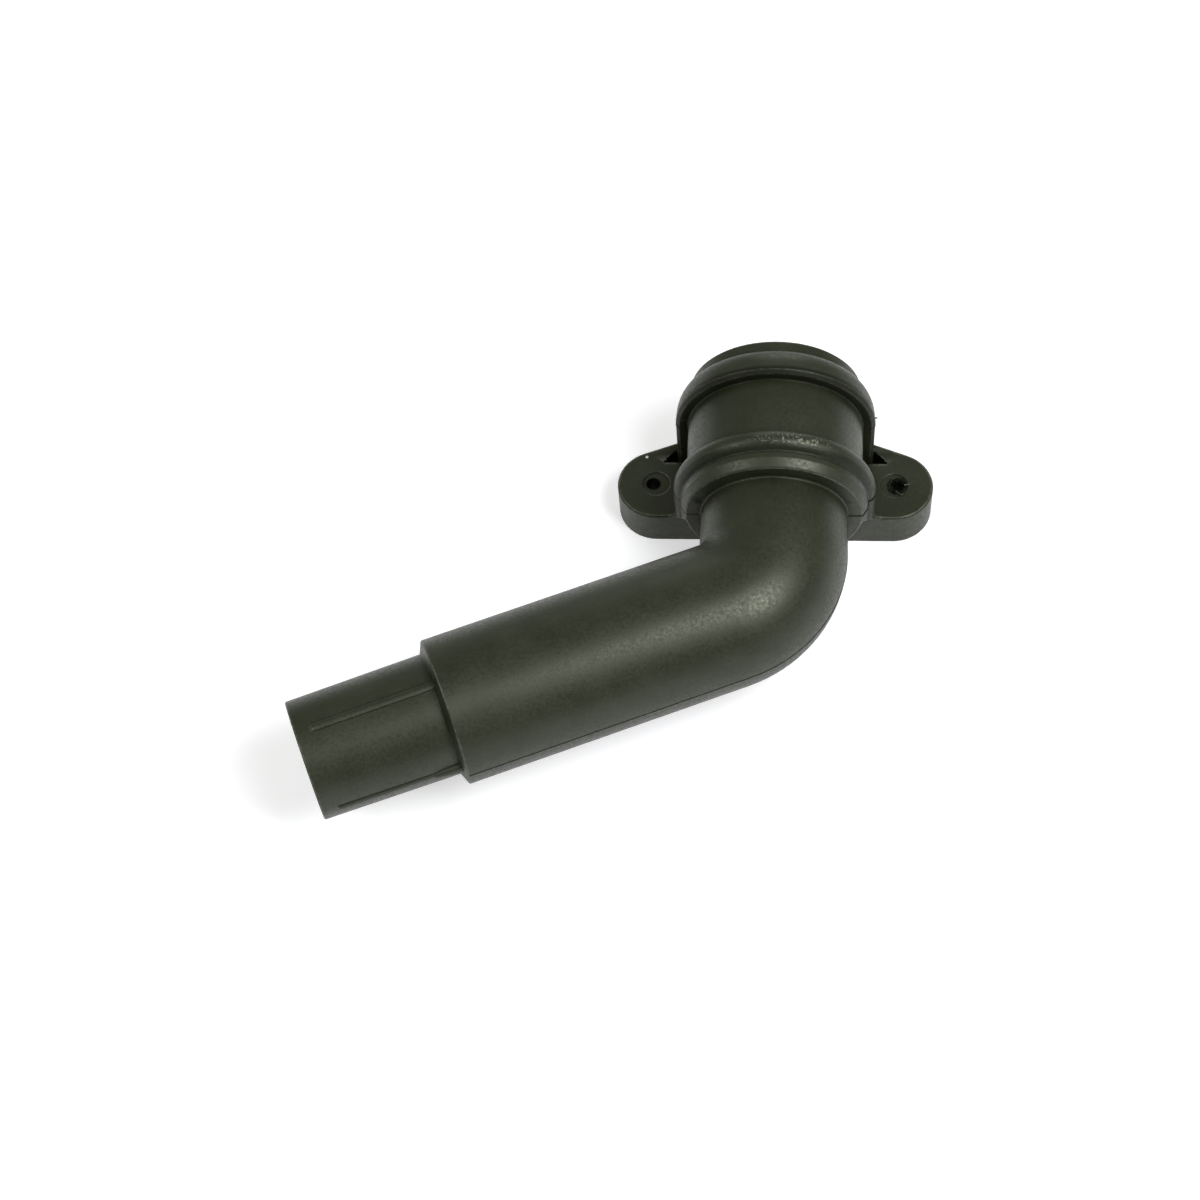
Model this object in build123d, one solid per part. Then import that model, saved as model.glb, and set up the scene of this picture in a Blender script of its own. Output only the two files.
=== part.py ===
from build123d import *
import os
from math import acos, cos, degrees, radians, sin, sqrt, tan

# Downpipe bend with an eared socket, moulded in one piece.
# The wall is the plane z = 0, the origin is midway between the two screw holes,
# y runs up the socket towards its mouth, and the leg leaves downwards and to the left.

# pipe run
pipe_od = 68.0
pipe_wall = 3.2
wall_gap = 0.4
bend_angle = 67.5
bend_radius = 35.5
corner_drop = 78.0
leg_length = 158.0
step_chamfer = 0.5
step_run = 2.1

# spigot at the end of the leg
spigot_length = 65.8
spigot_step = 5.65
spigot_taper = 0.65
spigot_wall = 2.8
tip_chamfer = 0.5
bore_cone_length = 7.0
rib_count = 4
rib_height = 0.8
rib_round = 3.0
rib_tip_gap = 7.0
rib_end_bevel = 1.1

# socket barrel: the pipe's play in it, its walls, and places along it from the line of the screws
socket_gap = 2.0
neck_wall = 5.2
mouth_wall = 4.5
mouth_collar = 6.9
mouth_chamfer = 0.9
stop_wall = 5.5
bead_rise = 6.0
bead_run = 6.0
upper_bead_face = 14.7
upper_bead_chamfer = 1.6
upper_bead_crest = 2.7
upper_bead_run = 11.0
lower_bead_place = -20.3
flange_length = 13.2
flange_drop = 3.4
flange_taper = 2.4
flange_crown = 0.8
flange_chamfer = 0.6
skirt_end_drop = 4.5
foot_bevel = 0.6

# lugs
lug_height = 20.8
lug_round = 18.8
lug_slope = 21.4
lug_chamfer = 0.9
corner_fillet = 3.0
corner_web = 5.0
web_depth = 3.5
web_foot = 3.0
screw_pitch = 117.0
screw_hole = 6.5
screw_offset = 1.5
seat_od = 13.0
seat_depth = 0.5

# wells beside the upper bead, open to the front
well_front = 13.4
well_width = 6.6
well_length = 5.8
well_floor = 4.0
well_round = 0.7
well_bevel = 1.5

# hollow back of the lugs
shell_wall = 3.5
boss_wall = 3.75
web_thickness = 2.6

# how far each cut runs past the face that it crosses
overcut = 1.0

pipe_radius = pipe_od / 2
bore_radius = pipe_radius - pipe_wall
spigot_root = pipe_radius - spigot_step
spigot_tip = spigot_root - spigot_taper
socket_radius = pipe_radius + socket_gap
neck_radius = socket_radius + neck_wall
mouth_radius = socket_radius + mouth_wall
bead_radius = neck_radius + bead_rise
axis_height = bead_radius + wall_gap

upper_bead_place = upper_bead_face + upper_bead_chamfer + upper_bead_crest
collar_place = upper_bead_place + upper_bead_run
mouth_place = collar_place + mouth_collar
flange_place = lower_bead_place - flange_length
stop_place = flange_place + stop_wall
lug_centre = screw_pitch / 2 - screw_offset
plate_front = -lug_round

corner = Vector(0, -corner_drop, axis_height)
leg_direction = Vector(-sin(radians(bend_angle)), -cos(radians(bend_angle)), 0)
step_point = corner + leg_direction * leg_length
step_plane = Plane(origin=step_point, x_dir=(0, 0, 1), z_dir=leg_direction)
socket_plane = Plane(origin=(0, 0, axis_height), x_dir=(1, 0, 0), z_dir=(0, 0, 1))
socket_axis = Axis((0, 0, axis_height), (0, 1, 0))
on_base = (Align.CENTER, Align.CENTER, Align.MIN)


def upright(x, y, radius, bottom, top):
    """A round post on the wall plane's normal, between two heights."""
    return Pos(x, y, bottom) * Cylinder(radius, top - bottom, align=on_base)


def along_socket(radius, start, end):
    """A round bar on the socket axis between two places."""
    plane = Plane(origin=(0, start, axis_height), x_dir=(1, 0, 0), z_dir=(0, 1, 0))
    return plane * Cylinder(radius, end - start, align=on_base)


def socket_outline():
    """Half section of the barrel: radius across, place along the socket upwards."""
    flange_radius = bead_radius - flange_drop
    meeting_angle = degrees(acos((flange_radius - neck_radius) / bead_rise))
    lower_bead = EllipticalCenterArc(
        (neck_radius, lower_bead_place),
        bead_rise,
        bead_run,
        start_angle=-meeting_angle,
        arc_size=90 + meeting_angle,
    )
    edge_outer = Vector(flange_radius - flange_taper, flange_place + flange_chamfer)
    edge_inner = edge_outer - Vector(flange_chamfer, flange_chamfer)
    crown = (edge_outer + (lower_bead @ 0)) / 2 + Vector(flange_crown, 0)
    foot_start = (neck_radius, upper_bead_face - foot_bevel)
    foot_end = (neck_radius + foot_bevel, upper_bead_face)
    face_end = (bead_radius - upper_bead_chamfer, upper_bead_face)
    crest_start = (bead_radius, upper_bead_face + upper_bead_chamfer)
    upper_bead = EllipticalCenterArc(
        (mouth_radius, upper_bead_place), bead_radius - mouth_radius, upper_bead_run, arc_size=90
    )
    rim_outer = (mouth_radius, mouth_place - mouth_chamfer)
    rim_inner = (mouth_radius - mouth_chamfer, mouth_place)
    parts = [
        Line((0, flange_place), edge_inner),
        Line(edge_inner, edge_outer),
        Line(edge_outer, crown),
        Line(crown, lower_bead @ 0),
        lower_bead,
        Line(lower_bead @ 1, foot_start),
        Line(foot_start, foot_end),
        Line(foot_end, face_end),
        Line(face_end, crest_start),
        Line(crest_start, upper_bead @ 0),
        upper_bead,
        Line(upper_bead @ 1, rim_outer),
        Line(rim_outer, rim_inner),
        Line(rim_inner, (0, mouth_place)),
        Line((0, mouth_place), (0, flange_place)),
    ]
    return make_face(Curve() + parts)


def barrel():
    return revolve(socket_plane * socket_outline(), axis=socket_axis)


def run_bar(radius, start_place, end_length):
    """A round bar from a place in the socket round the bend and down the leg."""
    start = Vector(0, start_place, axis_height)
    end = corner + leg_direction * end_length
    path = FilletPolyline(start, corner, end, radius=bend_radius)
    plane = Plane(origin=start, x_dir=(1, 0, 0), z_dir=(0, -1, 0))
    return sweep(plane * Circle(radius), path=path)


def circle_at(shape, point, radius):
    """The round edge nearest to a given centre and radius."""
    circles = shape.edges().filter_by(GeomType.CIRCLE)
    return circles.sort_by(lambda edge: (edge.arc_center - point).length + abs(edge.radius - radius))[0]


def leg():
    bar = run_bar(pipe_radius, stop_place, leg_length)
    return chamfer(circle_at(bar, step_point, pipe_radius), step_chamfer)


def spigot():
    """Sloping step at the end of the leg, and the reduced end with its low lengthways ribs."""
    body = Cone(spigot_root, spigot_tip, spigot_length, align=on_base)
    body += Cone(pipe_radius - step_chamfer, spigot_root, step_run, align=on_base)
    body = chamfer(circle_at(body, Vector(0, 0, spigot_length), spigot_tip), tip_chamfer)
    rib_length = spigot_length - rib_tip_gap
    rib_depth = spigot_root + rib_height - rib_round
    rib_start = Vector(rib_depth, 0, 0)
    rib_end = Vector(rib_depth - spigot_taper * rib_length / spigot_length, 0, rib_length)
    rib_plane = Plane(origin=rib_start, x_dir=(0, 1, 0), z_dir=rib_end - rib_start)
    rib = Cylinder(rib_round, (rib_end - rib_start).length, align=on_base)
    rib = rib_plane * chamfer(rib.edges().sort_by(Axis.Z)[-1], rib_end_bevel)
    for index in range(rib_count):
        body += Rot(0, 0, index * 360 / rib_count) * rib
    return step_plane * body


def block_outline(front):
    """Plan of the block under the barrel: the barrel's own outline from a front place to the collar."""
    half = socket_outline()
    limit = Rectangle(4 * bead_radius, collar_place - front, align=(Align.CENTER, Align.MIN))
    return (half + mirror(half, Plane.YZ)) & (Pos(0, front) * limit)


def carrier_block():
    """Straight sides of the barrel, down to the wall and, before the plate, to a rising underside."""
    block = extrude(block_outline(flange_place), amount=axis_height)
    reach = flange_place - overcut
    points = [
        (plate_front, -overcut),
        (plate_front, lug_height),
        (flange_place, axis_height - skirt_end_drop),
        (reach, axis_height - skirt_end_drop),
        (reach, -overcut),
    ]
    under = Plane.YZ * make_face(Polyline(*points, close=True))
    return block - extrude(under, amount=2 * bead_radius, both=True)


def corner_webs():
    """Hollow-faced web in each corner of lug and barrel, at the plate's front, fading out backwards."""
    width = corner_web + web_foot
    height = corner_web + overcut
    webs = Part()
    for side in (-1, 1):
        centre = (side * (bead_radius + corner_web), plate_front, lug_height + corner_web)
        face = Plane(origin=centre, x_dir=(1, 0, 0), z_dir=(0, 1, 0))
        block = Pos(-side * width / 2, height / 2, 0) * Box(width, height, web_depth, align=on_base)
        rim = Cone(corner_web + lug_chamfer, corner_web, lug_chamfer, align=on_base)
        fade = Cone(corner_web, corner_web * sqrt(2), web_depth - lug_chamfer, align=on_base)
        webs += face * (block - rim - Pos(0, 0, lug_chamfer) * fade)
    return webs


def lug_outline():
    """Plan of the plate: straight front, round ears, sloping rear up to the block."""
    slope = radians(lug_slope)
    touch = (lug_centre + lug_round * sin(slope), lug_round * cos(slope))
    rear = touch[1] + (touch[0] - neck_radius) * tan(slope)
    half = [
        Line((0, plate_front), (lug_centre, plate_front)),
        ThreePointArc((lug_centre, plate_front), (lug_centre + lug_round, 0), touch),
        Line(touch, (neck_radius, rear)),
        Line((neck_radius, rear), (0, rear)),
        Line((0, rear), (0, plate_front)),
    ]
    side = make_face(Curve() + half)
    return side + mirror(side, Plane.YZ)


def lug_plate():
    """The plate with its bevelled rim, filleted into the sides of the block."""
    plan = lug_outline() + block_outline(plate_front)
    meets = plan.vertices().filter_by(lambda point: neck_radius < abs(point.X) < bead_radius)
    meets = meets.filter_by(lambda point: upper_bead_place < point.Y < collar_place)
    plan = fillet(meets, corner_fillet)
    plate = extrude(plan, amount=lug_height)
    rim = plate.edges().group_by(Axis.Z)[-1]
    block_sides = rim.filter_by(lambda edge: abs(edge.center().X) < bead_radius and edge.center().Y > 0)
    return chamfer([edge for edge in rim if edge not in block_sides], lug_chamfer)


def well_outline(side, margin=0.0):
    """Plan of one well; the margin gives the wall left round it at the back."""
    inner = neck_radius - overcut
    well_rear = well_front + well_length
    points = [
        (inner, well_front),
        (bead_radius + well_width, well_front),
        (bead_radius + well_round, well_rear),
        (inner, well_rear),
    ]
    plan = make_face(Polyline(*points, close=True))
    plan = fillet(plan.vertices().sort_by(Axis.X)[-1], well_round)
    if margin:
        plan = offset(plan, amount=margin)
    return plan if side > 0 else mirror(plan, Plane.YZ)


def wells():
    cut = Part()
    slope = [(0, -well_bevel), (0, overcut), (-well_bevel - overcut, overcut)]
    for side in (-1, 1):
        cut += Pos(0, 0, well_floor) * extrude(well_outline(side), amount=lug_height)
        start = (side * neck_radius, well_front, lug_height)
        plane = Plane(origin=start, x_dir=(0, 1, 0), z_dir=(side, 0, 0))
        bevel = make_face(Polyline(*[(along, side * rise) for along, rise in slope], close=True))
        cut += extrude(plane * bevel, amount=bead_radius + well_width - neck_radius)
    return cut


def back_hollow():
    """Space behind the lugs, leaving rim, screw bosses, webs and the walls of barrel and wells."""
    ceiling = lug_height - shell_wall
    inside = offset(lug_outline(), amount=-shell_wall)
    rear_width = 2 * (mouth_radius - shell_wall)
    inside += Rectangle(rear_width, collar_place - shell_wall, align=(Align.CENTER, Align.MIN))
    hollow = Pos(0, 0, -overcut) * extrude(inside, amount=ceiling + overcut)
    hollow -= along_socket(neck_radius, flange_place, mouth_place)
    for side in (-1, 1):
        screw = side * screw_pitch / 2
        hollow -= upright(screw, 0, screw_hole / 2 + boss_wall, -2 * overcut, lug_height)
        hollow -= Pos(screw / 2, 0, 0) * Box(abs(screw), web_thickness, 2 * lug_height)
        walls = extrude(well_outline(side, shell_wall), amount=lug_height + 2 * overcut)
        hollow -= Pos(0, 0, -2 * overcut) * walls
    return hollow


def screw_cut():
    cut = Part()
    for side in (-1, 1):
        cut += upright(side * screw_pitch / 2, 0, screw_hole / 2, -overcut, lug_height + overcut)
        cut += upright(side * lug_centre, 0, seat_od / 2, lug_height - seat_depth, lug_height + overcut)
    return cut


def waterway():
    """Socket bore, stop ledge, the bore round the bend and the narrower bore of the spigot."""
    mouth = spigot_tip - spigot_wall
    cut = along_socket(socket_radius, stop_place, mouth_place + overcut)
    cut += run_bar(bore_radius, stop_place + overcut, leg_length - pipe_wall - bore_cone_length)
    cone = Cone(bore_radius, mouth, bore_cone_length, align=on_base)
    cut += step_plane * Pos(0, 0, -pipe_wall - bore_cone_length) * cone
    outlet = Cylinder(mouth, pipe_wall + spigot_length + overcut, align=on_base)
    cut += step_plane * Pos(0, 0, -pipe_wall) * outlet
    return cut


def downpipe_bend():
    body = barrel() + leg()
    foot = circle_at(body, Vector(0, flange_place, axis_height), pipe_radius)
    body = chamfer(foot, foot_bevel)
    body += lug_plate() - wells()
    body += corner_webs()
    body += carrier_block()
    body += spigot()
    body -= back_hollow()
    body -= screw_cut()
    body -= waterway()
    return body


os.makedirs("parts", exist_ok=True)
bend = downpipe_bend()
bend.label = "downpipe_bend"
export_step(bend, "parts/downpipe_bend.step")
print("solids", len(bend.solids()), "volume", round(bend.volume), "box", bend.bounding_box())
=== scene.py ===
import bpy
from math import cos, radians, sin, tan
from mathutils import Euler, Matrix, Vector, noise


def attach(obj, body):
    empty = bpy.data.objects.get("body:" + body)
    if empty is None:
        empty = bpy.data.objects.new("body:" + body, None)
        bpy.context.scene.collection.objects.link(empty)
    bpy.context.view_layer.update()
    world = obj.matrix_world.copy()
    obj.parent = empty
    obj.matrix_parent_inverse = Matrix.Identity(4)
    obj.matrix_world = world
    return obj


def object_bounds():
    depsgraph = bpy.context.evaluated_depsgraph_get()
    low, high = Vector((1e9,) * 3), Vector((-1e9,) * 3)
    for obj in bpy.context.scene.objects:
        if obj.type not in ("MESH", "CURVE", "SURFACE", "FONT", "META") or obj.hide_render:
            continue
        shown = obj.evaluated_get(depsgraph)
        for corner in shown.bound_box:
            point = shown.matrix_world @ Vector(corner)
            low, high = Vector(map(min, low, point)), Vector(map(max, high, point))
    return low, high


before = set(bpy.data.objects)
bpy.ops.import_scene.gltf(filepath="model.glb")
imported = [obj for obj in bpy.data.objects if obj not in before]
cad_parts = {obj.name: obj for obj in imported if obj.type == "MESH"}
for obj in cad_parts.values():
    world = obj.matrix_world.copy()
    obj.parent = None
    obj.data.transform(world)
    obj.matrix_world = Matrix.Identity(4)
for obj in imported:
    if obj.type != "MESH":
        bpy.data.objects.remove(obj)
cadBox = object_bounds()

print("stage: camera")
cameraView = {
    "place": (0.0054, -0.6136, 1.0054),  # metres, from the point midway between the screws
    "turn": (29.244, 3.4995, 2.754),  # degrees about X, Y and Z
    "lens": 72.0,
    "sensor": 36.0,
    "farthest": 20,  # metres that it still sees
}


def addCamera(view):
    data = bpy.data.cameras.new("photoCamera")
    data.lens = view["lens"]
    data.sensor_width = view["sensor"]
    data.clip_end = view["farthest"]
    camera = bpy.data.objects.new("photoCamera", data)
    bpy.context.scene.collection.objects.link(camera)
    camera.location = view["place"]
    camera.rotation_euler = Euler([radians(turn) for turn in view["turn"]])
    bpy.context.scene.camera = camera


addCamera(cameraView)

print("stage: moulded plastic")
plasticLook = {
    "darkColour": (0.0098, 0.0122, 0.0050, 1),
    "paleColour": (0.0160, 0.0186, 0.0098, 1),
    "glossTint": (0.94, 1.0, 0.84, 1),
    "glossLevel": 0.5,
    # patches: metres across one, fineness, and the noise values between which they blend
    "mottle": {"size": 0.016, "detail": 4, "blend": (0.35, 0.65)},
    "glossPatches": {"size": 0.0015, "detail": 5, "blend": (0.3, 0.7)},
    "edgePatches": {"size": 0.0018, "detail": 3, "blend": (0.40, 0.60)},
    "specks": {"detail": 2, "blend": (0.54, 0.64)},  # each scuff has its own size
    "glossRange": (0.33, 0.54),  # roughness, from the polished patches to the dull ones
    "grain": {"size": 0.0007, "detail": 3, "depth": 0.00003},
    "waves": {"size": 0.011, "detail": 2, "depth": 0.00004},
    "edgeRound": 0.0010,
    "edgeSamples": 6,
    "softEdges": [(-0.0490, 0.0150, 0.0208), (0.0490, 0.0150, 0.0208)],  # round the wells of the lugs
    "softReach": (0.014, 0.007, 0.008),
    "softCore": 0.6,  # share of the reach with the full rounding
    "softRound": 0.0022,
    "edgeTurn": (0.985, 0.90),  # cosines between face and rounded edge where the paler edge, part wear and part painted highlight, begins and is full
    # paler edge colour: partly wear, partly painted highlight along the edges
    "edgeWearAndHighlightColour": (0.170, 0.182, 0.150, 1),
    "leastWearAndHighlight": 0.2,  # of the paler edges, between their patches
    "wearAndHighlightOpenness": (0.7, 1),  # openness where the paler edges begin and are full
    # shallow slopes down into the wells of the lugs
    "dishes": [
        {"place": (-0.0485, 0.0165, 0.0208), "reach": (0.0095, 0.0048, 0.010)},
        {"place": (0.0485, 0.0165, 0.0208), "reach": (0.0095, 0.0048, 0.010)},
    ],
    "dishDepth": 0.0016,
    # round the seats of the screws, where the edges get almost none of the wear and painted highlight
    "plainEdgePlaces": [
        {"place": (0.0570, 0.0, 0.0208), "reach": (0.0095, 0.0095, 0.010)},
        {"place": (-0.0610, 0.0, 0.0208), "reach": (0.0080, 0.0095, 0.010)},
    ],
    "plainEdgeCore": 0.75,
    "plainEdgeShare": 0.1,
    "creaseReach": 0.0050,
    "creaseSamples": 8,
    "creaseRange": (0.50, 0.95),  # share of open sky in a full crease and in the open
    # gloss kept in a full crease: painted shade
    "creaseShine": 0.2,
    "scuffAndHighlightCore": 0.4,
    # marks and speckled places: middle, reach along X, Y and Z, colour, size of the specks
    "scuffsAndHighlights": [
        # pale specks along the crest of the lower bead: partly rubbed marks, partly painted highlight
        {
            "place": (0.0120, -0.0210, 0.0930),
            "reach": (0.026, 0.0036, 0.010),
            "colour": (0.16, 0.17, 0.14, 1),
            "speck": 0.0011,
        },
        {
            "place": (-0.0622, 0.0151, 0.0208),
            "reach": (0.0009, 0.0009, 0.0009),
            "colour": (0.75, 0.75, 0.70, 1),
            "speck": 0.01,
        },
        {
            "place": (-0.0443, 0.0147, 0.0540),
            "reach": (0.0014, 0.0014, 0.0014),
            "colour": (0.05, 0.05, 0.045, 1),
            "speck": 0.01,
        },
        {
            "place": (-0.1990, -0.1780, 0.0440),
            "reach": (0.012, 0.012, 0.012),
            "colour": (0.07, 0.075, 0.065, 1),
            "speck": 0.0012,
        },
        {
            "place": (-0.0352, 0.0213, 0.0765),
            "reach": (0.0011, 0.0017, 0.0011),
            "colour": (0.20, 0.21, 0.18, 1),
            "speck": 0.01,
        },
    ],
    "shadeAndSpotCore": 0.7,
    # the colour the darkened places take: mostly painted shade
    "shadeAndSpotColour": (0.001, 0.001, 0.001, 1),
    # darkened and dulled places, mostly painted shade, and how much of the gloss they keep
    "shadeAndSpotPlaces": [
        # painted shade in the two screw holes
        {"place": (-0.0585, 0.0, 0.018), "reach": (0.0043, 0.0043, 0.020), "shine": 0.1},
        {"place": (0.0585, 0.0, 0.018), "reach": (0.0043, 0.0043, 0.020), "shine": 0.1},
        # painted shade on the face of the upper bead that looks towards the leg
        {"place": (0.0, 0.0160, 0.0800), "reach": (1.0, 0.0027, 0.045), "shine": 0.5},
        # painted shade in the valley between the lower bead and its second bulge
        {"place": (0.0, -0.0247, 0.0476), "reach": (1.0, 0.0024, 1.0), "shine": 0.6},
        # painted shade in the gaps between the end of the lower bead and the tube
        {"place": (-0.0352, -0.0370, 0.0600), "reach": (0.0035, 0.0050, 0.0060), "shine": 0.3},
        {"place": (0.0345, -0.0360, 0.0600), "reach": (0.0025, 0.0030, 0.0030), "shine": 0.2},
        # a small dark, dull spot on the right of the flange
        {"place": (0.0429, -0.0277, 0.0656), "reach": (0.0009, 0.0018, 0.0014), "shine": 0.05},
    ],
}


def addNoise(tree, coordinates, size, detail):
    texture = tree.nodes.new("ShaderNodeTexNoise")
    texture.inputs["Scale"].default_value = 1 / size
    texture.inputs["Detail"].default_value = detail
    tree.links.new(coordinates, texture.inputs["Vector"])
    return texture.outputs["Fac"]


def addRange(tree, value, low, high, start, end):
    spread = tree.nodes.new("ShaderNodeMapRange")
    spread.inputs["From Min"].default_value = low
    spread.inputs["From Max"].default_value = high
    spread.inputs["To Min"].default_value = start
    spread.inputs["To Max"].default_value = end
    tree.links.new(value, spread.inputs["Value"])
    return spread.outputs["Result"]


def addPatches(tree, coordinates, patches, start, end):
    value = addNoise(tree, coordinates, patches["size"], patches["detail"])
    return addRange(tree, value, *patches["blend"], start, end)


def addMath(tree, operation, first, second):
    node = tree.nodes.new("ShaderNodeMath")
    node.operation = operation
    tree.links.new(first, node.inputs[0])
    tree.links.new(second, node.inputs[1])
    return node.outputs["Value"]


def addColourMix(tree, factor, first, second):
    mix = tree.nodes.new("ShaderNodeMix")
    mix.data_type = "RGBA"
    for name, colour in (("A", first), ("B", second)):
        if isinstance(colour, tuple):
            mix.inputs[name].default_value = colour
        else:
            tree.links.new(colour, mix.inputs[name])
    tree.links.new(factor, mix.inputs["Factor"])
    return mix.outputs["Result"]


def addVectorMath(tree, operation, first, second=None):
    node = tree.nodes.new("ShaderNodeVectorMath")
    node.operation = operation
    tree.links.new(first, node.inputs[0])
    if isinstance(second, tuple):
        node.inputs[1].default_value = second
    elif second:
        tree.links.new(second, node.inputs[1])
    return node


def addNearness(tree, coordinates, place, reach, core):
    # 1 in the core of the place and 0 from the ellipsoid of its reach outwards
    offset = addVectorMath(tree, "SUBTRACT", coordinates, place).outputs["Vector"]
    scaled = addVectorMath(tree, "DIVIDE", offset, reach).outputs["Vector"]
    return addRange(tree, addVectorMath(tree, "LENGTH", scaled).outputs["Value"], core, 1, 1, 0)


def addScuffAndHighlight(tree, coordinates, colour, markPlace, look):
    # paler specks that thin out with the distance from the middle of the place
    near = addNearness(tree, coordinates, markPlace["place"], markPlace["reach"], look["scuffAndHighlightCore"])
    if markPlace["speck"] > markPlace["reach"][0]:  # one solid mark
        return addColourMix(tree, near, colour, markPlace["colour"])
    specks = addPatches(tree, coordinates, look["specks"] | {"size": markPlace["speck"]}, 0, 1)
    return addColourMix(tree, addMath(tree, "MULTIPLY", near, specks), colour, markPlace["colour"])


def addOpenness(tree, look):
    # 0 in creases and 1 in the open
    sky = tree.nodes.new("ShaderNodeAmbientOcclusion")
    sky.samples = look["creaseSamples"]
    sky.only_local = True
    sky.inputs["Distance"].default_value = look["creaseReach"]
    return addRange(tree, sky.outputs["AO"], *look["creaseRange"], 0, 1)


def addEdgeWearAndHighlight(tree, coordinates, rounded, look):
    # paler edges, partly rubbed wear and partly painted highlight: where the rounded edge turns away from
    # the face itself
    face = tree.nodes.new("ShaderNodeNewGeometry").outputs["Normal"]
    turn = addVectorMath(tree, "DOT_PRODUCT", rounded, face).outputs["Value"]
    edge = addRange(tree, turn, *look["edgeTurn"], 0, 1)
    broken = addPatches(tree, coordinates, look["edgePatches"], look["leastWearAndHighlight"], 1)
    wornAndLitEdge = addMath(tree, "MULTIPLY", edge, broken)
    for quietEdge in look["plainEdgePlaces"]:
        near = addNearness(tree, coordinates, quietEdge["place"], quietEdge["reach"], look["plainEdgeCore"])
        wornAndLitEdge = addMath(tree, "MULTIPLY", wornAndLitEdge, addRange(tree, near, 0, 1, 1, look["plainEdgeShare"]))
    return wornAndLitEdge


def addBump(tree, height, depth, under):
    bump = tree.nodes.new("ShaderNodeBump")
    bump.inputs["Distance"].default_value = depth
    tree.links.new(height, bump.inputs["Height"])
    tree.links.new(under, bump.inputs["Normal"])
    return bump.outputs["Normal"]


def addEdgeRadius(tree, coordinates, look):
    # how far the edges are rounded: more beside the soft ones
    nearest = None
    for place in look["softEdges"]:
        near = addNearness(tree, coordinates, place, look["softReach"], look["softCore"])
        nearest = addMath(tree, "MAXIMUM", nearest, near) if nearest else near
    return addRange(tree, nearest, 0, 1, look["edgeRound"], look["softRound"])


def makePlastic(name, look):
    material = bpy.data.materials.new(name)
    material.use_nodes = True
    tree = material.node_tree
    shader = tree.nodes["Principled BSDF"]
    coordinates = tree.nodes.new("ShaderNodeTexCoord").outputs["Object"]
    mottle = addPatches(tree, coordinates, look["mottle"], 0, 1)
    colour = addColourMix(tree, mottle, look["darkColour"], look["paleColour"])
    rounded = tree.nodes.new("ShaderNodeBevel")
    rounded.samples = look["edgeSamples"]
    rounded.inputs["Radius"].default_value = look["edgeRound"]
    if look["softEdges"]:
        tree.links.new(addEdgeRadius(tree, coordinates, look), rounded.inputs["Radius"])
    wornAndLitEdge = addEdgeWearAndHighlight(tree, coordinates, rounded.outputs["Normal"], look)
    openness = addOpenness(tree, look)
    wornAndLitEdge = addMath(tree, "MULTIPLY", wornAndLitEdge, addRange(tree, openness, *look["wearAndHighlightOpenness"], 0, 1))
    # paler edges: partly wear, partly painted highlight
    colour = addColourMix(tree, wornAndLitEdge, colour, look["edgeWearAndHighlightColour"])
    for markPlace in look["scuffsAndHighlights"]:
        # marks, and on the lower bead's crest a painted highlight
        colour = addScuffAndHighlight(tree, coordinates, colour, markPlace, look)
    # painted shade: the gloss is dimmed in creases
    shine = addRange(tree, openness, 0, 1, look["creaseShine"] * look["glossLevel"], look["glossLevel"])
    # darkened places: painted shade, and one small dark spot
    for darkPlace in look["shadeAndSpotPlaces"]:
        near = addNearness(tree, coordinates, darkPlace["place"], darkPlace["reach"], look["shadeAndSpotCore"])
        darkening = addRange(tree, near, 0, 1, 0, 1 - darkPlace["shine"])
        colour = addColourMix(tree, darkening, colour, look["shadeAndSpotColour"])
        shine = addMath(tree, "MULTIPLY", shine, addRange(tree, near, 0, 1, 1, darkPlace["shine"]))
    tree.links.new(colour, shader.inputs["Base Color"])
    tree.links.new(shine, shader.inputs["Specular IOR Level"])
    roughness = addPatches(tree, coordinates, look["glossPatches"], *look["glossRange"])
    tree.links.new(roughness, shader.inputs["Roughness"])
    waves = addNoise(tree, coordinates, look["waves"]["size"], look["waves"]["detail"])
    normal = addBump(tree, waves, look["waves"]["depth"], rounded.outputs["Normal"])
    for dish in look["dishes"]:
        near = addNearness(tree, coordinates, dish["place"], dish["reach"], 0)
        normal = addBump(tree, addRange(tree, near, 0, 1, 1, 0), look["dishDepth"], normal)
    grain = addNoise(tree, coordinates, look["grain"]["size"], look["grain"]["detail"])
    tree.links.new(addBump(tree, grain, look["grain"]["depth"], normal), shader.inputs["Normal"])
    shader.inputs["Specular Tint"].default_value = look["glossTint"]
    return material


plastic = makePlastic("mouldedPlastic", plasticLook)
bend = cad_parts["downpipe_bend"]
bend.data.materials.clear()
bend.data.materials.append(plastic)

smoothAngle = 40  # degrees between two faces that are still shaded as one


def onlyActive(piece):
    bpy.ops.object.select_all(action="DESELECT")
    piece.select_set(True)
    bpy.context.view_layer.objects.active = piece


def finishPiece(piece, name, material):
    onlyActive(piece)
    piece.name = name
    bpy.ops.object.transform_apply(location=True, rotation=True, scale=True)
    bpy.ops.object.mode_set(mode="EDIT")
    bpy.ops.mesh.select_all(action="SELECT")
    bpy.ops.mesh.normals_make_consistent(inside=False)
    bpy.ops.object.mode_set(mode="OBJECT")
    bpy.ops.object.shade_smooth_by_angle(angle=radians(smoothAngle))
    piece.data.materials.clear()
    piece.data.materials.append(material)
    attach(piece, "root")


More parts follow.
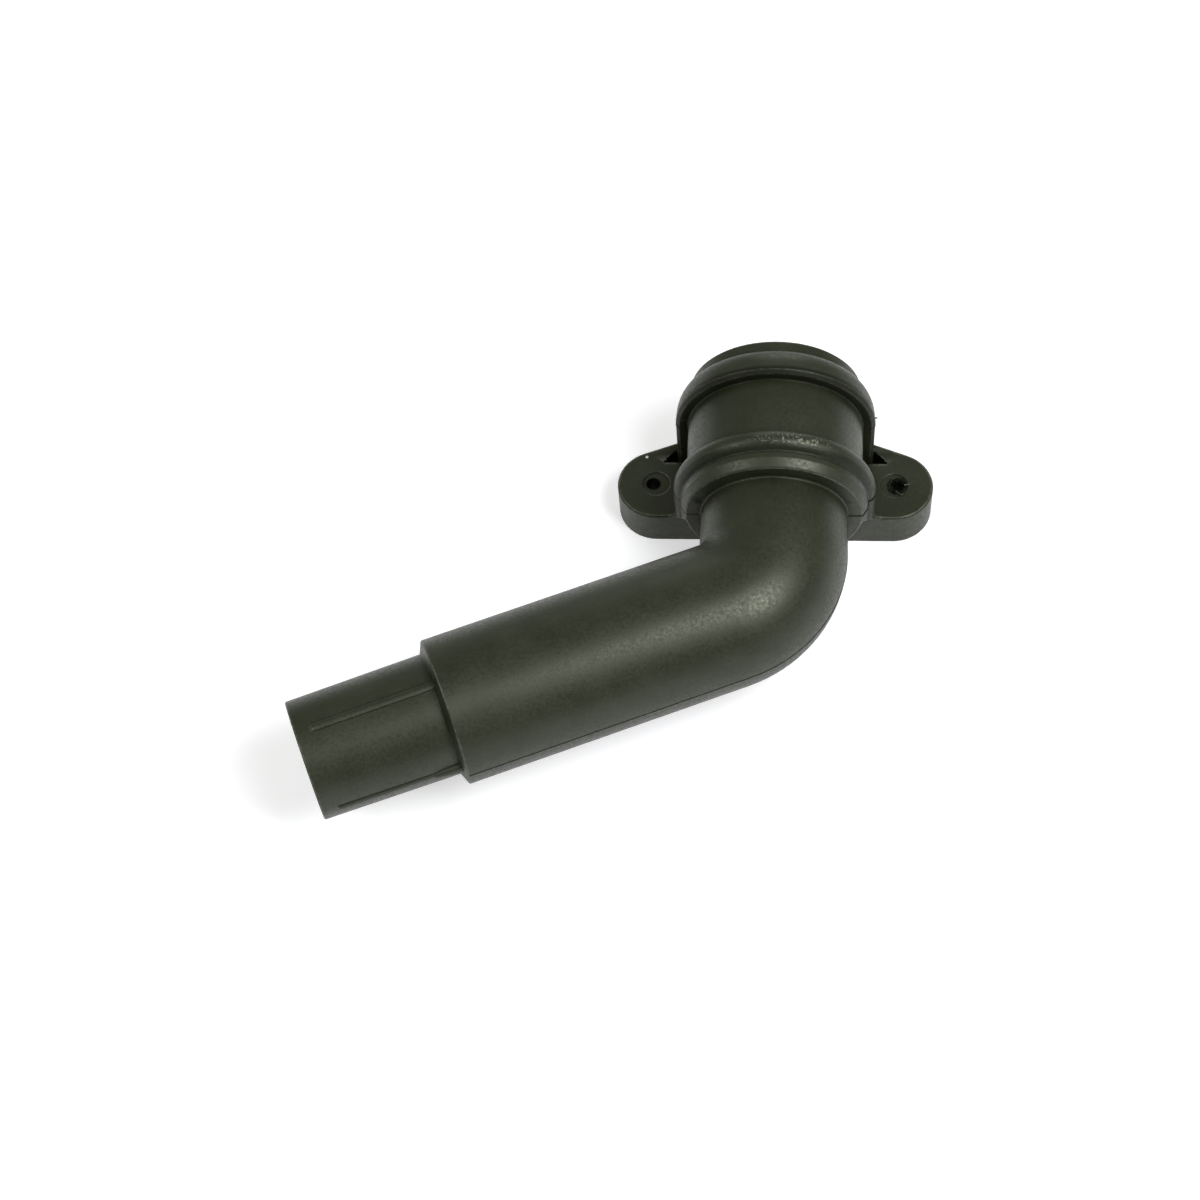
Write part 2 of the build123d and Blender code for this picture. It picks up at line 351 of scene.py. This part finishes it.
pipeRun = {
    "height": 0.0476,  # of both axes above the wall
    "cornerDrop": 0.078,  # from the screws down to the corner of the two axes
    "bendRadius": 0.0355,
    "bendTurn": 67.5,  # degrees from the socket's axis to the leg's
}
legTurn = radians(pipeRun["bendTurn"])
legCorner = Vector((0, -pipeRun["cornerDrop"], pipeRun["height"]))
legWay = Vector((-sin(legTurn), -cos(legTurn), 0))
up = Vector((0, 0, 1))

print("stage: parting line")
seamLook = {
    "legEnd": 0.1575,
    "pipeFrom": 0.0325,  # further from the axis than the bore of tube and leg
    "socketFrom": 0.0385,  # further from the axis than the bore of the socket
    "socketFoot": -0.0325,
    "socketTop": 0.0355,
    "ridge": 0.00020,
    "crack": (-0.0337, -0.0150),  # the rougher stretch on the right of flange and lower bead
    "crackRidge": 0.00045,
    "faintRidge": 0.00012,  # the same stretch on the left
    "unevenness": 0.35,
    "patchSize": 0.003,
    "weld": 0.000002,  # corners closer than this are one
    "roundness": 1,
}
noPlaces = {"softEdges": [], "dishes": [], "scuffsAndHighlights": [], "shadeAndSpotPlaces": []}
# darker, duller plastic of the flash; on the parting line and at the feet of the ribs its darkness is
# painted shade
darkFlashAndShadePlastic = makePlastic("darkFlashAndShadeMaterial", plasticLook | noPlaces | {
    "darkColour": (0.0030, 0.0036, 0.0016, 1),
    "paleColour": (0.0060, 0.0070, 0.0036, 1),
    "glossLevel": 0.2,
    "glossRange": (0.55, 0.75),
    "edgeRound": 0.0001,
    "edgeWearAndHighlightColour": (0.0060, 0.0070, 0.0036, 1),
})


def isOuter(point, look):
    # whether a point of the section lies on the outside of socket, tube, bend or leg
    tangent = pipeRun["bendRadius"] * tan(legTurn / 2)
    fromCorner = (point - legCorner).xy
    along = fromCorner.dot(legWay.xy)
    if point.y > look["socketFoot"]:
        return abs(point.x) > look["socketFrom"] and point.y < look["socketTop"]
    if along > tangent:
        return (fromCorner - along * legWay.xy).length > look["pipeFrom"] and along < look["legEnd"]
    fromBend = fromCorner + Vector((pipeRun["bendRadius"], -tangent))
    if fromBend.y > 0:
        return abs(point.x) > look["pipeFrom"]
    return abs(fromBend.length - pipeRun["bendRadius"]) > look["pipeFrom"]


# a thin ridge along the mould's parting plane, whose darker plastic paints the shade of the fine dark line
def addPartingLine(look):
    seam = bpy.data.objects.new("partingLine", bend.data.copy())
    bpy.context.scene.collection.objects.link(seam)
    onlyActive(seam)
    bpy.ops.object.mode_set(mode="EDIT")
    bpy.ops.mesh.select_all(action="SELECT")
    bpy.ops.mesh.remove_doubles(threshold=look["weld"])
    bpy.ops.mesh.bisect(plane_co=legCorner, plane_no=up, clear_inner=True, clear_outer=True)
    bpy.ops.mesh.select_all(action="DESELECT")
    bpy.ops.object.mode_set(mode="OBJECT")
    for vertex in seam.data.vertices:
        vertex.select = not isOuter(vertex.co, look)
    bpy.ops.object.mode_set(mode="EDIT")
    bpy.ops.mesh.delete(type="VERT")
    bpy.ops.object.mode_set(mode="OBJECT")
    bpy.ops.object.convert(target="CURVE")
    first, last = look["crack"]
    for spline in seam.data.splines:
        for point in spline.points:
            thickness = look["ridge"]
            if first < point.co.y < last:
                thickness = look["crackRidge"] if point.co.x > 0 else look["faintRidge"]
            uneven = 1 + look["unevenness"] * noise.noise(point.co.xyz / look["patchSize"])
            point.radius = uneven * thickness / look["ridge"]
    seam.data.bevel_depth = look["ridge"]
    seam.data.bevel_resolution = look["roundness"]
    seam.data.use_fill_caps = True
    bpy.ops.object.convert(target="MESH")
    finishPiece(bpy.context.active_object, "partingLine", darkFlashAndShadePlastic)


addPartingLine(seamLook)

# painted shade: dark rods in the creases at the feet of the spigot's ribs
print("stage: creases along the ribs of the spigot")
ribShadeLook = {
    "from": 0.1606,  # along the leg's axis
    "to": 0.2160,
    "fromRadius": 0.02827,  # from the axis to the foot of a rib, at both ends
    "toRadius": 0.02772,
    "halfWidth": 0.00212,
    "ribs": (0, 90, 180, 270),
    "thickness": 0.00022,
    "sides": 8,
}


def addRod(start, end, radius, sides):
    bpy.ops.object.select_all(action="DESELECT")
    bpy.ops.mesh.primitive_cylinder_add(
        vertices=sides,
        radius=radius,
        depth=(end - start).length,
        location=(start + end) / 2,
        rotation=(end - start).to_track_quat("Z", "Y").to_euler(),
    )
    return bpy.context.active_object


# dark rods along both feet of each rib, painted shade in the creases
def addRibFootShade(look):
    aside = legWay.cross(up)
    rods = []
    for rib in look["ribs"]:
        outwards = cos(radians(rib)) * up + sin(radians(rib)) * aside
        sideways = legWay.cross(outwards)
        for side in (-1, 1):
            foot = side * look["halfWidth"] * sideways
            start = legCorner + look["from"] * legWay + look["fromRadius"] * outwards + foot
            end = legCorner + look["to"] * legWay + look["toRadius"] * outwards + foot
            rods.append(addRod(start, end, look["thickness"], look["sides"]))
    for rod in rods:
        rod.select_set(True)
    bpy.ops.object.join()
    finishPiece(bpy.context.active_object, "ribFootShade", darkFlashAndShadePlastic)


addRibFootShade(ribShadeLook)

print("stage: swelling of the front rib")
flareLook = {
    "middle": 0.1600,  # along the leg's axis
    "from": 0.1592,
    "radius": 0.0283,  # from the axis
    "size": (0.0130, 0.0024, 0.0032),  # half lengths along the leg, outwards and across
    "segments": 40,
    "rings": 20,
}


def addRibFlare(look):
    # the front rib swells where it runs into the step
    outwards = up.cross(legWay)
    bpy.ops.object.select_all(action="DESELECT")
    bpy.ops.mesh.primitive_uv_sphere_add(
        segments=look["segments"],
        ring_count=look["rings"],
        radius=1,
        location=legCorner + look["middle"] * legWay + look["radius"] * outwards,
        rotation=(0, 0, radians(90) - legTurn),
        scale=look["size"],
    )
    flare = bpy.context.active_object
    bpy.ops.object.mode_set(mode="EDIT")
    bpy.ops.mesh.select_all(action="SELECT")
    bpy.ops.mesh.bisect(
        plane_co=legCorner + look["from"] * legWay,
        plane_no=legWay,
        use_fill=True,
        clear_inner=True,
    )
    bpy.ops.object.mode_set(mode="OBJECT")
    finishPiece(flare, "ribFlare", plastic)


addRibFlare(flareLook)

print("stage: flash at the screw hole and the upper bead")
flashLook = {
    "hole": (0.0585, 0.0, 0.0204),  # the right screw hole, at the floor of its seat
    "rimRadius": 0.0036,
    "rimThickness": 0.0007,
    "rimFlatness": 0.6,
    "rimSegments": (44, 8),  # round the hole and round the rim's section
    "rimSmoothing": 0.3,
    "raggedness": 0.0014,
    "seed": 7,
    # shreds round the hole: place beside its middle, turn in degrees, length
    "shreds": [
        (0.0052, 0.0004, 10, 0.0034),
        (0.0006, -0.0044, -35, 0.0030),
        (0.0028, -0.0050, 25, 0.0024),
    ],
    "shredThickness": 0.00034,
    "shredLift": 2.4,  # thicknesses above the floor of the seat
    "nib": (0.0472, 0.0208, 0.0476),
    "nibLength": 0.0022,
    "nibThickness": 0.0006,
    "nibTurn": 20,
}
spikeLook = {
    "sides": 7,
    "tipShare": 0.2,  # of the thickness at the root
    "cuts": 3,
    "unevenness": 0.3,  # of the thickness
    "seed": 3,
}
shredPlastic = makePlastic("shredPlastic", plasticLook | noPlaces | {
    "darkColour": (0.050, 0.056, 0.040, 1),
    "paleColour": (0.110, 0.120, 0.090, 1),
    "edgeRound": 0.0001,
})


def addRaggedRim(look):
    around, across = look["rimSegments"]
    bpy.ops.object.select_all(action="DESELECT")
    bpy.ops.mesh.primitive_torus_add(
        location=look["hole"],
        major_radius=look["rimRadius"],
        minor_radius=look["rimThickness"],
        major_segments=around,
        minor_segments=across,
    )
    rim = bpy.context.active_object
    bpy.ops.object.mode_set(mode="EDIT")
    bpy.ops.mesh.select_all(action="SELECT")
    bpy.ops.transform.vertex_random(offset=look["raggedness"], uniform=1, seed=look["seed"])
    bpy.ops.mesh.vertices_smooth(factor=look["rimSmoothing"], repeat=1)
    bpy.ops.transform.resize(value=(1, 1, look["rimFlatness"]), center_override=look["hole"])
    bpy.ops.object.mode_set(mode="OBJECT")
    finishPiece(rim, "raggedRim", darkFlashAndShadePlastic)


def addSpike(name, place, turn, length, thickness, material, look):
    # a tapering shred with an uneven skin
    bpy.ops.object.select_all(action="DESELECT")
    bpy.ops.mesh.primitive_cone_add(
        vertices=look["sides"],
        radius1=thickness,
        radius2=thickness * look["tipShare"],
        depth=length,
        location=place,
        rotation=(0, radians(90), radians(turn)),
    )
    spike = bpy.context.active_object
    bpy.ops.object.mode_set(mode="EDIT")
    bpy.ops.mesh.select_all(action="SELECT")
    bpy.ops.mesh.subdivide(number_cuts=look["cuts"])
    bpy.ops.transform.vertex_random(offset=thickness * look["unevenness"], uniform=1, seed=look["seed"])
    bpy.ops.object.mode_set(mode="OBJECT")
    finishPiece(spike, name, material)


def addShreds(look):
    x, y, z = look["hole"]
    thickness = look["shredThickness"]
    for index, (right, ahead, turn, length) in enumerate(look["shreds"]):
        place = (x + right, y + ahead, z + look["shredLift"] * thickness)
        addSpike(f"shred{index + 1}", place, turn, length, thickness, shredPlastic, spikeLook)


def addNib(look):
    length = look["nibLength"]
    thickness = look["nibThickness"]
    addSpike("flashNib", look["nib"], look["nibTurn"], length, thickness, darkFlashAndShadePlastic, spikeLook)


addRaggedRim(flashLook)
addShreds(flashLook)
addNib(flashLook)

print("stage: floor and light")
floorLook = {
    "size": 8.0,
    "height": 0.0,
    "colour": (0.79, 0.79, 0.83, 1),  # a little blue, so that shadows are grey under the yellowish world
    "farColour": (0.60, 0.60, 0.60, 1),
    "whiteReach": 0.62,  # metres from the object's middle that stay white
    "fadeReach": 1.4,
    "roughness": 0.9,
    "glossLevel": 0.1,
    "glowColour": (1, 1, 1, 1),
    # what is seen on top of the lit colour, near and far: by the camera, and in reflections
    "seenGlow": (0.40, 1.00),
    "mirroredGlow": (0.24, 0.00),
}


def addFloor(look):
    middle = (cadBox[0] + cadBox[1]) / 2
    bpy.ops.object.select_all(action="DESELECT")
    bpy.ops.mesh.primitive_plane_add(size=look["size"], location=(middle.x, middle.y, look["height"]))
    floor = bpy.context.active_object
    floor.name = "floor"
    material = bpy.data.materials.new("paleFloor")
    material.use_nodes = True
    tree = material.node_tree
    shader = tree.nodes["Principled BSDF"]
    coordinates = tree.nodes.new("ShaderNodeTexCoord").outputs["Object"]
    distance = addVectorMath(tree, "LENGTH", coordinates).outputs["Value"]
    fade = addRange(tree, distance, look["whiteReach"], look["fadeReach"], 0, 1)
    tree.links.new(addColourMix(tree, fade, look["colour"], look["farColour"]), shader.inputs["Base Color"])
    shader.inputs["Roughness"].default_value = look["roughness"]
    shader.inputs["Specular IOR Level"].default_value = look["glossLevel"]
    shader.inputs["Emission Color"].default_value = look["glowColour"]
    path = tree.nodes.new("ShaderNodeLightPath")
    seen = addMath(tree, "MAXIMUM", path.outputs["Is Camera Ray"], path.outputs["Is Transmission Ray"])
    seen = addMath(tree, "MULTIPLY", seen, addRange(tree, fade, 0, 1, *look["seenGlow"]))
    mirrored = addRange(tree, fade, 0, 1, *look["mirroredGlow"])
    mirrored = addMath(tree, "MULTIPLY", path.outputs["Is Glossy Ray"], mirrored)
    tree.links.new(addMath(tree, "MAXIMUM", seen, mirrored), shader.inputs["Emission Strength"])
    floor.data.materials.append(material)


addFloor(floorLook)

lampLook = {
    "aim": (-0.06, -0.07, 0.04),  # near the middle of the object
    "lamps": [
        {"name": "keyLamp", "place": (0.72, -0.46, 1.24), "size": (0.55, 0.85), "watts": 20},
        {"name": "leftLamp", "place": (-0.90, -0.40, 1.10), "size": (0.60, 0.60), "watts": 6},
        {"name": "backLamp", "place": (0.10, 1.40, 0.58), "size": (0.80, 0.60), "watts": 3.4},
    ],
}


def addLamp(lamp, aim):
    data = bpy.data.lights.new(lamp["name"], "AREA")
    data.shape = "RECTANGLE"
    data.size, data.size_y = lamp["size"]
    data.energy = lamp["watts"]
    light = bpy.data.objects.new(lamp["name"], data)
    bpy.context.scene.collection.objects.link(light)
    light.location = lamp["place"]
    towards = Vector(aim) - Vector(lamp["place"])
    light.rotation_euler = towards.to_track_quat("-Z", "Y").to_euler()


for lamp in lampLook["lamps"]:
    addLamp(lamp, lampLook["aim"])

worldLook = {
    "colour": (0.300, 0.306, 0.263, 1),
    "seenColour": (1, 1, 1, 1),
    "mirroredShare": 0.04,  # how much of the seen colour the reflections take
}


def addWorld(look):
    world = bpy.data.worlds.new("studio")
    bpy.context.scene.world = world
    world.use_nodes = True
    tree = world.node_tree
    path = tree.nodes.new("ShaderNodeLightPath")
    mirrored = addRange(tree, path.outputs["Is Glossy Ray"], 0, 1, 0, look["mirroredShare"])
    seen = addMath(tree, "MAXIMUM", path.outputs["Is Camera Ray"], path.outputs["Is Transmission Ray"])
    seen = addMath(tree, "MAXIMUM", seen, mirrored)
    colour = addColourMix(tree, seen, look["colour"], look["seenColour"])
    tree.links.new(colour, tree.nodes["Background"].inputs["Color"])


addWorld(worldLook)

bpy.context.scene.view_settings.view_transform = "Standard"
